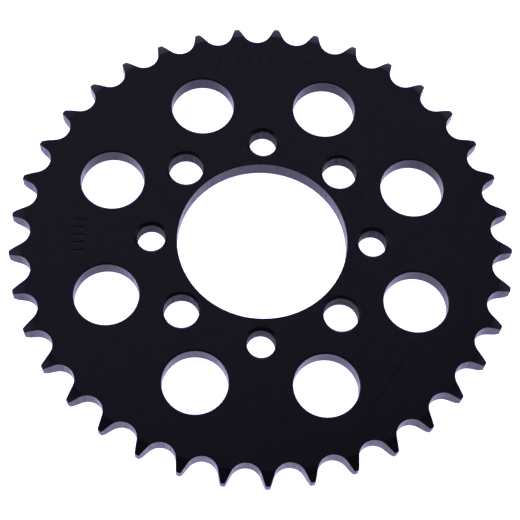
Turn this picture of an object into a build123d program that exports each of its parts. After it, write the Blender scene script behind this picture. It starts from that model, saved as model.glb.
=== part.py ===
from build123d import *
from math import asin, cos, hypot, radians, sin, sqrt, tan
import os

# Rear sprocket of a motorcycle: one steel plate, turned, bored, drilled and toothed.
# It lies flat. The origin is the bore's centre on the mounting face, which is at Z = 0,
# +Z is the axle, and the outer face is at Z = PLATE_THICKNESS. Sizes are in millimetres.

# Chain: 525 size
CHAIN_PITCH = 15.875
ROLLER_DIAMETER = 10.16
TOOTH_COUNT = 37

# Plate, before its teeth are cut. The rim's outer face falls away in a long arc, which leads
# the chain on, and its mounting face has a short straight bevel.
PLATE_THICKNESS = 7.4
TIP_RADIUS = 96.5
OUTER_BEVEL_START_RADIUS = 91.4
OUTER_BEVEL_START_ANGLE = 14.0
OUTER_BEVEL_ARC_RADIUS = 16.0
INNER_BEVEL_START_RADIUS = 95.0
INNER_BEVEL_ANGLE = 34.0

# Tooth form
GULLET_RADIUS = 5.9
FLANK_ANGLE = 24.4
TIP_CORNER_RADIUS = 0.6
FIRST_TOOTH_ANGLE = -0.64

# Holes: radius of each hole and of the circle that its centres lie on. The bore is sharp-edged.
BORE_RADIUS = 32.6
BOLT_CIRCLE_RADIUS = 42.4
SMALL_BOLT_HOLE_RADIUS = 5.4
LARGE_BOLT_HOLE_RADIUS = 6.7
LIGHTENING_CIRCLE_RADIUS = 63.1
LIGHTENING_HOLE_RADIUS = 12.3
SMALL_BOLT_HOLE_EDGE_BREAK = 1.1
LARGE_BOLT_HOLE_EDGE_BREAK = 0.8
LIGHTENING_HOLE_EDGE_BREAK = 0.4
INNER_EDGE_BREAK = 0.3
BOLT_HOLES_PER_SIZE = 4
LIGHTENING_HOLES = 8

# Plain engraved strokes on the outer face: a long row near the top and a short one at the left.
# For each row: how many strokes, the circle they stand on, and the angles of middle and step.
STROKE_ROWS = ((10, 79.6, 89.5, 2.9), (5, 70.0, 180.0, 2.6))
STROKE_LENGTH = 4.4
STROKE_WIDTH = 1.0
STROKE_DEPTH = 0.15

# How far the cutters run past the plate
CUTTER_OVERRUN = 1.0

tooth_step = 360 / TOOTH_COUNT
pitch_radius = CHAIN_PITCH / 2 / sin(radians(tooth_step / 2))
root_radius = pitch_radius - ROLLER_DIAMETER / 2
gullet_centre_radius = root_radius + GULLET_RADIUS


def on_gullet(tangential, radial, gullet_angle):
    """A point given along and across a gullet's own centre line, in the plate's frame."""
    turn = radians(gullet_angle)
    return (
        radial * cos(turn) - tangential * sin(turn),
        radial * sin(turn) + tangential * cos(turn),
    )


def flank_and_corner():
    """One flank of a gullet, as points along and across the gullet's centre line.

    The straight flank is tangent to the gullet's arc. A small arc of TIP_CORNER_RADIUS is
    tangent to the flank and to the tip circle. Returns where the flank starts and ends,
    the middle of the small arc, and where the tip circle takes over.
    """
    lean = radians(FLANK_ANGLE)
    start = (GULLET_RADIUS * cos(lean), gullet_centre_radius - GULLET_RADIUS * sin(lean))
    along = (sin(lean), cos(lean))
    into_tooth = (cos(lean), -sin(lean))
    # The small arc's centre is a corner radius off the flank and off the tip circle.
    base = (
        start[0] + TIP_CORNER_RADIUS * into_tooth[0],
        start[1] + TIP_CORNER_RADIUS * into_tooth[1],
    )
    centre_radius = TIP_RADIUS - TIP_CORNER_RADIUS
    half_b = base[0] * along[0] + base[1] * along[1]
    free_term = base[0] ** 2 + base[1] ** 2 - centre_radius**2
    run = -half_b + sqrt(half_b**2 - free_term)
    centre = (base[0] + run * along[0], base[1] + run * along[1])
    flank_end = (
        centre[0] - TIP_CORNER_RADIUS * into_tooth[0],
        centre[1] - TIP_CORNER_RADIUS * into_tooth[1],
    )
    outward = (centre[0] / centre_radius, centre[1] / centre_radius)
    tip_start = (TIP_RADIUS * outward[0], TIP_RADIUS * outward[1])
    between = (outward[0] - into_tooth[0], outward[1] - into_tooth[1])
    between_length = hypot(*between)
    corner_middle = (
        centre[0] + TIP_CORNER_RADIUS * between[0] / between_length,
        centre[1] + TIP_CORNER_RADIUS * between[1] / between_length,
    )
    return start, flank_end, corner_middle, tip_start


def tooth_outline():
    """The face bounded by all the gullets, flanks and tips."""
    start, flank_end, corner_middle, tip_start = flank_and_corner()
    edges = []
    for tooth in range(TOOTH_COUNT):
        tooth_angle = FIRST_TOOTH_ANGLE + tooth * tooth_step
        gullet_angle = tooth_angle + tooth_step / 2
        next_gullet_angle = gullet_angle + tooth_step

        def here(point, side):
            return on_gullet(side * point[0], point[1], gullet_angle)

        gullet_bottom = on_gullet(0, root_radius, gullet_angle)
        edges.append(ThreePointArc(here(start, -1), gullet_bottom, here(start, 1)))
        for side in (-1, 1):
            edges.append(Line(here(start, side), here(flank_end, side)))
            edges.append(
                ThreePointArc(here(flank_end, side), here(corner_middle, side), here(tip_start, side))
            )
        tip_middle = on_gullet(0, TIP_RADIUS, gullet_angle + tooth_step / 2)
        next_tip = on_gullet(-tip_start[0], tip_start[1], next_gullet_angle)
        edges.append(ThreePointArc(here(tip_start, 1), tip_middle, next_tip))
    return make_face(edges)


def turned(section):
    """A solid of revolution about the axle, from (radius, height) corners."""
    profile = make_face(Plane.XZ * Polyline(*section, close=True))
    return revolve(profile, Axis.Z)


def on_outer_bevel(angle):
    """The point of the outer bevel's arc where its surface leans by an angle in radians."""
    start_angle = radians(OUTER_BEVEL_START_ANGLE)
    return (
        OUTER_BEVEL_START_RADIUS + OUTER_BEVEL_ARC_RADIUS * (sin(angle) - sin(start_angle)),
        PLATE_THICKNESS + OUTER_BEVEL_ARC_RADIUS * (cos(angle) - cos(start_angle)),
    )


def bevelled_blank():
    """The turned disc with both of its rim's bevels, run a little past the tip circle."""
    rim_radius = TIP_RADIUS + CUTTER_OVERRUN
    start_angle = radians(OUTER_BEVEL_START_ANGLE)
    arc_span = (rim_radius - OUTER_BEVEL_START_RADIUS) / OUTER_BEVEL_ARC_RADIUS
    end_angle = asin(arc_span + sin(start_angle))
    arc_start = on_outer_bevel(start_angle)
    arc_middle = on_outer_bevel((start_angle + end_angle) / 2)
    arc_end = on_outer_bevel(end_angle)
    inner_height = tan(radians(INNER_BEVEL_ANGLE)) * (rim_radius - INNER_BEVEL_START_RADIUS)
    corners = [
        arc_start,
        (0, PLATE_THICKNESS),
        (0, 0),
        (INNER_BEVEL_START_RADIUS, 0),
        (rim_radius, inner_height),
        arc_end,
    ]
    section = [ThreePointArc(arc_start, arc_middle, arc_end), Polyline(*corners)]
    profile = make_face([Plane.XZ * edge for edge in section])
    return revolve(profile, Axis.Z)


def bore_cutter():
    """The plain bore, which the wheel carrier's spigot centres."""
    return turned(
        [
            (0, -CUTTER_OVERRUN),
            (BORE_RADIUS, -CUTTER_OVERRUN),
            (BORE_RADIUS, PLATE_THICKNESS + CUTTER_OVERRUN),
            (0, PLATE_THICKNESS + CUTTER_OVERRUN),
        ]
    )


def hole_cutter(radius, outer_edge_break):
    """A through-hole with a 45 degree edge break at both faces."""
    return turned(
        [
            (0, -CUTTER_OVERRUN),
            (radius + INNER_EDGE_BREAK + CUTTER_OVERRUN, -CUTTER_OVERRUN),
            (radius, INNER_EDGE_BREAK),
            (radius, PLATE_THICKNESS - outer_edge_break),
            (radius + outer_edge_break + CUTTER_OVERRUN, PLATE_THICKNESS + CUTTER_OVERRUN),
            (0, PLATE_THICKNESS + CUTTER_OVERRUN),
        ]
    )


def ring_of(cutter, circle_radius, count, first_angle):
    """Copies of one cutter, evenly spaced on a circle about the axle."""
    return [place * cutter for place in PolarLocations(circle_radius, count, first_angle)]


def row_of_strokes(count, circle_radius, middle_angle, step):
    """Round-ended slots, along the radius, that engrave one row of strokes."""
    slot = extrude(SlotOverall(STROKE_LENGTH, STROKE_WIDTH), STROKE_DEPTH + CUTTER_OVERRUN)
    first_angle = middle_angle - step * (count - 1) / 2
    return [
        Rot(0, 0, first_angle + index * step)
        * Pos(circle_radius, 0, PLATE_THICKNESS - STROKE_DEPTH)
        * slot
        for index in range(count)
    ]


def sprocket_plate():
    """The whole sprocket, which is one piece."""
    half_bolt_step = 180 / BOLT_HOLES_PER_SIZE
    half_lightening_step = 180 / LIGHTENING_HOLES
    small_bolt_hole = hole_cutter(SMALL_BOLT_HOLE_RADIUS, SMALL_BOLT_HOLE_EDGE_BREAK)
    large_bolt_hole = hole_cutter(LARGE_BOLT_HOLE_RADIUS, LARGE_BOLT_HOLE_EDGE_BREAK)
    lightening_hole = hole_cutter(LIGHTENING_HOLE_RADIUS, LIGHTENING_HOLE_EDGE_BREAK)
    cutters = [bore_cutter()]
    cutters += ring_of(small_bolt_hole, BOLT_CIRCLE_RADIUS, BOLT_HOLES_PER_SIZE, 0)
    cutters += ring_of(large_bolt_hole, BOLT_CIRCLE_RADIUS, BOLT_HOLES_PER_SIZE, half_bolt_step)
    cutters += ring_of(
        lightening_hole, LIGHTENING_CIRCLE_RADIUS, LIGHTENING_HOLES, half_lightening_step
    )
    for row in STROKE_ROWS:
        cutters += row_of_strokes(*row)
    plate = extrude(tooth_outline(), PLATE_THICKNESS) & bevelled_blank()
    for cutter in cutters:
        plate -= cutter
    return plate


os.makedirs("parts", exist_ok=True)
export_step(sprocket_plate(), "parts/sprocket_plate.step")
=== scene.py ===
"""Looks of a motorcycle's rear sprocket: one black-finished steel plate on a white studio floor.

Lengths are in metres and angles in degrees. The frame's origin is the bore's centre on the
mounting face, +Z is the axle, and the outer face looks up.
"""

import math

import bpy
from mathutils import Matrix, Vector


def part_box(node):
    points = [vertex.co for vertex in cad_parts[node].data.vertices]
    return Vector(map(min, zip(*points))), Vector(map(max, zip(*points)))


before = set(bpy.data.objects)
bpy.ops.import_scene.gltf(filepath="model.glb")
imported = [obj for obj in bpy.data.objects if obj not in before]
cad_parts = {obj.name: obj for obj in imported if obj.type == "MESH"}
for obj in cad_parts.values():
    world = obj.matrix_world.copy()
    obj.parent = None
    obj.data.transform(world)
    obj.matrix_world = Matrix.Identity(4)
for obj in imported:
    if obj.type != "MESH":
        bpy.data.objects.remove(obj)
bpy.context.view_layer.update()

PLATE = "sprocket_plate"
plate_low, plate_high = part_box(PLATE)

# Camera: a long lens that looks down steeply from the front, a little from the left
CAMERA_AZIMUTH = -4.55
CAMERA_ELEVATION = 65.41
CAMERA_ROLL = 5.56
CAMERA_DISTANCE = 0.572
CAMERA_LENS_MM = 104.25
SENSOR_WIDTH_MM = 36
CLIP_START = 0.01
CLIP_END = 100
AIM_X = -0.0008
AIM_Y = -0.00858

# Light. Everything that shines has the same lilac cast. The floor glows brighter than white, so
# it stays plain white to the camera while the walls of the holes mirror its cast. It lies just
# below the plate.
LIGHT_COLOR = (0.68, 0.62, 1.0)
FLOOR_SIZE = 12.0
FLOOR_GLOW = 2.0
FLOOR_DROP = 0.0002
FLOOR_COLOR = (0.9, 0.9, 0.9, 1)
FLOOR_ROUGHNESS = 0.9
AMBIENT_STRENGTH = 0.17

# Soft panels: name, place, the lengths of the two sides, and the radiance that each shows
PANELS = (
    ("back_panel", (0, 2.2, 0.7), 3.0, 1.0, 1.5),
    ("left_panel", (-1.9, 0.3, 1.0), 2.0, 1.6, 1.2),
    ("right_panel", (1.9, 0.3, 0.8), 2.0, 1.4, 1.0),
    ("top_panel", (-0.35, 1.3, 2.3), 2.4, 1.5, 0.66),
)

# Finish: two close tones of black, the paler tone of rubbed edges, and the darker one of scratches
DEEP_BLACK = (0.0030, 0.0029, 0.0030, 1)
SOFT_BLACK = (0.0056, 0.0054, 0.0054, 1)
RUBBED_TONE = (0.024, 0.023, 0.022, 1)
SCRATCH_TONE = (0.001, 0.001, 0.001, 1)
SCRATCH_STRENGTH = 0.6
FINISH_IOR = 1.3

# Gloss: how rough the coat is in its glossiest and dullest clouds, and what each mark adds
CLOUD_ROUGHNESS = (0.24, 0.31)
MOTTLE_ROUGHNESS = (-0.03, 0.04)
STREAK_ROUGHNESS = (-0.04, 0.10)
BOLT_WALL_ROUGHNESS = 0.3
SCRATCH_ROUGHNESS = 0.3
RUBBED_ROUGHNESS = 0.08

# The ranges over which noise takes full effect, and how much of the tone the clouds and grain set
NOISE_RANGE = (0.3, 0.7)
FINE_NOISE_RANGE = (0.35, 0.65)
PATCH_RANGE = (0.4, 0.6)
RUBBED_RANGE = (0.38, 0.62)
RUBBED_LEAST = 0.15
CLOUD_SHARE = 0.7
GRAIN_SHARE = 0.3

# Where a wall ends: how far upward its surface points, from all wall to none of it. Where an edge
# ends: how alike the true and the rounded directions are, from all edge to none.
WALL_RANGE = (0.25, 0.6)
EDGE_RANGE = (0.86, 0.995)

# Noise scales, in cycles per metre of the plate
CLOUD_SCALE = 38
MOTTLE_SCALE = 190
PEEL_SCALE = 900
GRAIN_SCALE = 2600
STREAK_PATCH_SCALE = 60
UPRIGHT_STREAK_SCALE = (900, 900, 70)
LONG_STREAK_SCALE = (110, 110, 900)

# Hairline scratches: for both slants, the turn in degrees, the stretched scale, how crooked the
# lines are, and the noise value at which a line starts. They gather where the plate's lower right
# is: SCRATCH_SIDE points there, and distance along it takes them from few to full.
SCRATCH_SETS = ((-58, (8, 620, 8), 0.25, 0.70), (25, (7, 700, 7), 0.2, 0.71))
SCRATCH_FADE = 0.06
SCRATCH_SIDE = (0.8, -0.6, 0)
SCRATCH_SIDE_START = -0.03
SCRATCH_SIDE_FULL = 0.05
FAR_SCRATCHES = 0.3

# Relief: for each layer, its depth in metres and its strength
PEEL_RELIEF = (0.00002, 0.2)
GRAIN_RELIEF = (0.000006, 0.3)
STREAK_RELIEF = (0.00005, 0.35)
SCRATCH_RELIEF = (0.00001, 0.4)
EDGE_ROUNDING = 0.0006
RUBBED_EDGE_WIDTH = 0.0007
BEVEL_SAMPLES = 8

# The ring that the bolt holes lie in: its middle radius, its half width, and where it has faded out
BOLT_CIRCLE_RADIUS = 0.0424
BOLT_RING_HALF_WIDTH = 0.0075
BOLT_RING_END = 0.0085


# Camera and stage


def make_camera():
    """The camera circles the aim point, so its place follows from two angles and a distance."""
    azimuth = math.radians(CAMERA_AZIMUTH)
    elevation = math.radians(CAMERA_ELEVATION)
    aim = Vector((AIM_X, AIM_Y, plate_high.z))
    back = Vector(
        (
            math.sin(azimuth) * math.cos(elevation),
            -math.cos(azimuth) * math.cos(elevation),
            math.sin(elevation),
        )
    )
    lens = bpy.data.cameras.new("photo_camera")
    lens.lens = CAMERA_LENS_MM
    lens.sensor_width = SENSOR_WIDTH_MM
    lens.clip_start = CLIP_START
    lens.clip_end = CLIP_END
    camera = bpy.data.objects.new("photo_camera", lens)
    level = back.to_track_quat("Z", "Y").to_matrix().to_4x4()
    roll = Matrix.Rotation(math.radians(CAMERA_ROLL), 4, "Z")
    camera.matrix_world = Matrix.Translation(aim + back * CAMERA_DISTANCE) @ level @ roll
    bpy.context.scene.collection.objects.link(camera)
    bpy.context.scene.camera = camera


def make_floor():
    """A plain white floor that glows evenly, as a lit table does."""
    half = FLOOR_SIZE / 2
    height = plate_low.z - FLOOR_DROP
    corners = [
        (-half, -half, height),
        (half, -half, height),
        (half, half, height),
        (-half, half, height),
    ]
    mesh = bpy.data.meshes.new("floor")
    mesh.from_pydata(corners, [], [(0, 1, 2, 3)])
    floor = bpy.data.objects.new("floor", mesh)
    material = bpy.data.materials.new("floor_white")
    material.use_nodes = True
    shader = material.node_tree.nodes["Principled BSDF"]
    shader.inputs["Base Color"].default_value = FLOOR_COLOR
    shader.inputs["Roughness"].default_value = FLOOR_ROUGHNESS
    shader.inputs["Specular IOR Level"].default_value = 0.0
    shader.inputs["Emission Color"].default_value = (*LIGHT_COLOR, 1)
    shader.inputs["Emission Strength"].default_value = FLOOR_GLOW
    mesh.materials.append(material)
    bpy.context.scene.collection.objects.link(floor)


def area_light(name, place, size_x, size_y, radiance):
    """A soft panel that faces the plate. Its power follows from the radiance that it shows."""
    data = bpy.data.lights.new(name, "AREA")
    data.shape = "RECTANGLE"
    data.size = size_x
    data.size_y = size_y
    data.color = LIGHT_COLOR
    data.energy = radiance * math.pi * size_x * size_y
    light = bpy.data.objects.new(name, data)
    light.location = place
    light.rotation_euler = (-Vector(place)).to_track_quat("-Z", "Y").to_euler()
    bpy.context.scene.collection.objects.link(light)


def make_lights():
    """Soft panels behind, beside and above the plate, and a faint light from all around."""
    world = bpy.data.worlds.new("studio")
    world.use_nodes = True
    background = world.node_tree.nodes["Background"]
    background.inputs["Color"].default_value = (*LIGHT_COLOR, 1)
    background.inputs["Strength"].default_value = AMBIENT_STRENGTH
    bpy.context.scene.world = world
    for panel in PANELS:
        area_light(*panel)


# Materials


class Nodes:
    """Short calls that add nodes to one material and link them."""

    def __init__(self, name):
        self.material = bpy.data.materials.new(name)
        self.material.use_nodes = True
        self.tree = self.material.node_tree
        self.shader = self.tree.nodes["Principled BSDF"]

    def plug(self, source, socket):
        """Link an output to an input, or set the input if the source is a plain value."""
        if isinstance(source, bpy.types.NodeSocket):
            self.tree.links.new(source, socket)
        else:
            socket.default_value = source

    def add(self, kind, **settings):
        """Add a node of a kind, with its properties set."""
        node = self.tree.nodes.new(kind)
        for name, value in settings.items():
            setattr(node, name, value)
        return node

    def math(self, operation, first, second=0.0):
        """One operation on one or two values."""
        node = self.add("ShaderNodeMath", operation=operation)
        self.plug(first, node.inputs[0])
        self.plug(second, node.inputs[1])
        return node.outputs[0]

    def ramp(self, value, low, high, start, end):
        """Ease a value that runs from low to high into one that runs from start to end."""
        node = self.add("ShaderNodeMapRange", interpolation_type="SMOOTHSTEP")
        self.plug(value, node.inputs["Value"])
        node.inputs["From Min"].default_value = low
        node.inputs["From Max"].default_value = high
        node.inputs["To Min"].default_value = start
        node.inputs["To Max"].default_value = end
        return node.outputs["Result"]

    def stretched(self, vector, turn, scale):
        """The coordinates turned about the axle by degrees, then scaled on each axis."""
        turned = self.add("ShaderNodeVectorRotate", rotation_type="Z_AXIS")
        self.plug(vector, turned.inputs["Vector"])
        turned.inputs["Angle"].default_value = math.radians(turn)
        scaled = self.add("ShaderNodeVectorMath", operation="MULTIPLY")
        self.plug(turned.outputs["Vector"], scaled.inputs[0])
        scaled.inputs[1].default_value = scale
        return scaled.outputs["Vector"]

    def noise(self, vector, scale, detail, roughness=0.5, distortion=0.0):
        """Soft noise of about 0.3 to 0.7, for coordinates in metres or already scaled."""
        node = self.add("ShaderNodeTexNoise")
        self.plug(vector, node.inputs["Vector"])
        node.inputs["Scale"].default_value = scale
        node.inputs["Detail"].default_value = detail
        node.inputs["Roughness"].default_value = roughness
        node.inputs["Distortion"].default_value = distortion
        return node.outputs["Fac"]

    def blend(self, amount, first, second):
        """From the first colour or value at 0 to the second at 1."""
        node = self.add("ShaderNodeMix", data_type="RGBA")
        self.plug(amount, node.inputs["Factor"])
        self.plug(first, node.inputs["A"])
        self.plug(second, node.inputs["B"])
        return node.outputs["Result"]

    def bump(self, height, relief, normal, sunk=False):
        """Raise or sink the surface by a height of 0 to 1 times the relief's depth."""
        depth, strength = relief
        node = self.add("ShaderNodeBump", invert=sunk)
        node.inputs["Strength"].default_value = strength
        node.inputs["Distance"].default_value = depth
        self.plug(height, node.inputs["Height"])
        self.plug(normal, node.inputs["Normal"])
        return node.outputs["Normal"]


def upright(nodes):
    """1 on the walls of holes and tooth gaps, and 0 on the faces and bevels."""
    geometry = nodes.add("ShaderNodeNewGeometry")
    parts = nodes.add("ShaderNodeSeparateXYZ")
    nodes.plug(geometry.outputs["True Normal"], parts.inputs["Vector"])
    return nodes.ramp(nodes.math("ABSOLUTE", parts.outputs["Z"]), *WALL_RANGE, 1.0, 0.0)


def bolt_ring(nodes, place):
    """1 on the ring of the plate that the bolt holes lie in, and 0 elsewhere."""
    flat = nodes.add("ShaderNodeVectorMath", operation="MULTIPLY")
    nodes.plug(place, flat.inputs[0])
    flat.inputs[1].default_value = (1, 1, 0)
    radius = nodes.add("ShaderNodeVectorMath", operation="LENGTH")
    nodes.plug(flat.outputs["Vector"], radius.inputs[0])
    offset = nodes.math("SUBTRACT", radius.outputs["Value"], BOLT_CIRCLE_RADIUS)
    distance = nodes.math("ABSOLUTE", offset)
    return nodes.ramp(distance, BOLT_RING_HALF_WIDTH, BOLT_RING_END, 1.0, 0.0)


def rounded_normal(nodes, radius):
    """The surface's direction with its sharp corners rounded to a radius."""
    rounded = nodes.add("ShaderNodeBevel", samples=BEVEL_SAMPLES)
    rounded.inputs["Radius"].default_value = radius
    return rounded.outputs["Normal"]


def near_edges(nodes):
    """1 where the surface turns a sharp corner close by, and 0 elsewhere."""
    geometry = nodes.add("ShaderNodeNewGeometry")
    alike = nodes.add("ShaderNodeVectorMath", operation="DOT_PRODUCT")
    nodes.plug(geometry.outputs["True Normal"], alike.inputs[0])
    nodes.plug(rounded_normal(nodes, RUBBED_EDGE_WIDTH), alike.inputs[1])
    return nodes.ramp(alike.outputs["Value"], *EDGE_RANGE, 1.0, 0.0)


def handling_scratches(nodes, place):
    """Sparse hairline scratches at two slants, most of them on one side of the plate."""
    slants = []
    for turn, scale, crookedness, start in SCRATCH_SETS:
        lines = nodes.noise(nodes.stretched(place, turn, scale), 1.0, 1.0, distortion=crookedness)
        slants.append(nodes.ramp(lines, start, start + SCRATCH_FADE, 0.0, 1.0))
    side = nodes.add("ShaderNodeVectorMath", operation="DOT_PRODUCT")
    nodes.plug(place, side.inputs[0])
    side.inputs[1].default_value = SCRATCH_SIDE
    amount = nodes.ramp(
        side.outputs["Value"], SCRATCH_SIDE_START, SCRATCH_SIDE_FULL, FAR_SCRATCHES, 1.0
    )
    return nodes.math("MULTIPLY", nodes.math("MAXIMUM", *slants), amount)


def cutter_marks(nodes, place):
    """Streaks in the walls, upright in some patches and along the plate in others."""
    upright_streaks = nodes.noise(nodes.stretched(place, 0, UPRIGHT_STREAK_SCALE), 1.0, 3.0, 0.6)
    long_streaks = nodes.noise(nodes.stretched(place, 0, LONG_STREAK_SCALE), 1.0, 3.0, 0.6)
    patches = nodes.ramp(nodes.noise(place, STREAK_PATCH_SCALE, 1), *PATCH_RANGE, 0.0, 1.0)
    return nodes.blend(patches, upright_streaks, long_streaks)


def make_black_finish():
    """Semi-gloss black coating on steel: cloudy, finely grained, and rubbed at its edges."""
    nodes = Nodes("black_coated_steel")
    place = nodes.add("ShaderNodeTexCoord").outputs["Object"]
    clouds = nodes.noise(place, CLOUD_SCALE, 3, 0.55)
    mottle = nodes.noise(place, MOTTLE_SCALE, 3, 0.6)
    grain = nodes.noise(place, GRAIN_SCALE, 2, 0.6)
    peel = nodes.noise(place, PEEL_SCALE, 1, 0.5)
    walls = upright(nodes)
    not_walls = nodes.math("SUBTRACT", 1.0, walls)
    streaks = cutter_marks(nodes, place)
    scratches = nodes.math("MULTIPLY", handling_scratches(nodes, place), not_walls)
    rubbed_patches = nodes.ramp(mottle, *RUBBED_RANGE, RUBBED_LEAST, 1.0)
    rubbed = nodes.math("MULTIPLY", near_edges(nodes), rubbed_patches)

    # Colour
    cloud_tone = nodes.ramp(clouds, *NOISE_RANGE, 0.0, CLOUD_SHARE)
    grain_tone = nodes.ramp(grain, *FINE_NOISE_RANGE, 0.0, GRAIN_SHARE)
    coat = nodes.blend(nodes.math("ADD", cloud_tone, grain_tone), DEEP_BLACK, SOFT_BLACK)
    scratch_amount = nodes.math("MULTIPLY", scratches, SCRATCH_STRENGTH)
    scratched = nodes.blend(scratch_amount, coat, SCRATCH_TONE)
    nodes.plug(nodes.blend(rubbed, scratched, RUBBED_TONE), nodes.shader.inputs["Base Color"])

    # Gloss. The walls of the bolt holes are duller than the rest.
    cloud_roughness = nodes.ramp(clouds, *NOISE_RANGE, *CLOUD_ROUGHNESS)
    mottle_roughness = nodes.ramp(mottle, *NOISE_RANGE, *MOTTLE_ROUGHNESS)
    drilled = nodes.math("MULTIPLY", bolt_ring(nodes, place), BOLT_WALL_ROUGHNESS)
    streak_roughness = nodes.ramp(streaks, *FINE_NOISE_RANGE, *STREAK_ROUGHNESS)
    wall_marks = nodes.math("ADD", drilled, streak_roughness)
    roughness = nodes.math("ADD", cloud_roughness, mottle_roughness)
    for mark in (
        nodes.math("MULTIPLY", walls, wall_marks),
        nodes.math("MULTIPLY", scratches, SCRATCH_ROUGHNESS),
        nodes.math("MULTIPLY", rubbed, RUBBED_ROUGHNESS),
    ):
        roughness = nodes.math("ADD", roughness, mark)
    nodes.plug(roughness, nodes.shader.inputs["Roughness"])

    # Relief
    cut = nodes.math("MULTIPLY", streaks, walls)
    normal = rounded_normal(nodes, EDGE_ROUNDING)
    normal = nodes.bump(peel, PEEL_RELIEF, normal)
    normal = nodes.bump(grain, GRAIN_RELIEF, normal)
    normal = nodes.bump(cut, STREAK_RELIEF, normal)
    normal = nodes.bump(scratches, SCRATCH_RELIEF, normal, sunk=True)
    nodes.plug(normal, nodes.shader.inputs["Normal"])

    nodes.shader.inputs["IOR"].default_value = FINISH_IOR
    return nodes.material


make_camera()
make_floor()
make_lights()
bpy.context.scene.view_settings.view_transform = "Standard"

black_finish = make_black_finish()
for material_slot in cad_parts[PLATE].material_slots:
    material_slot.material = black_finish
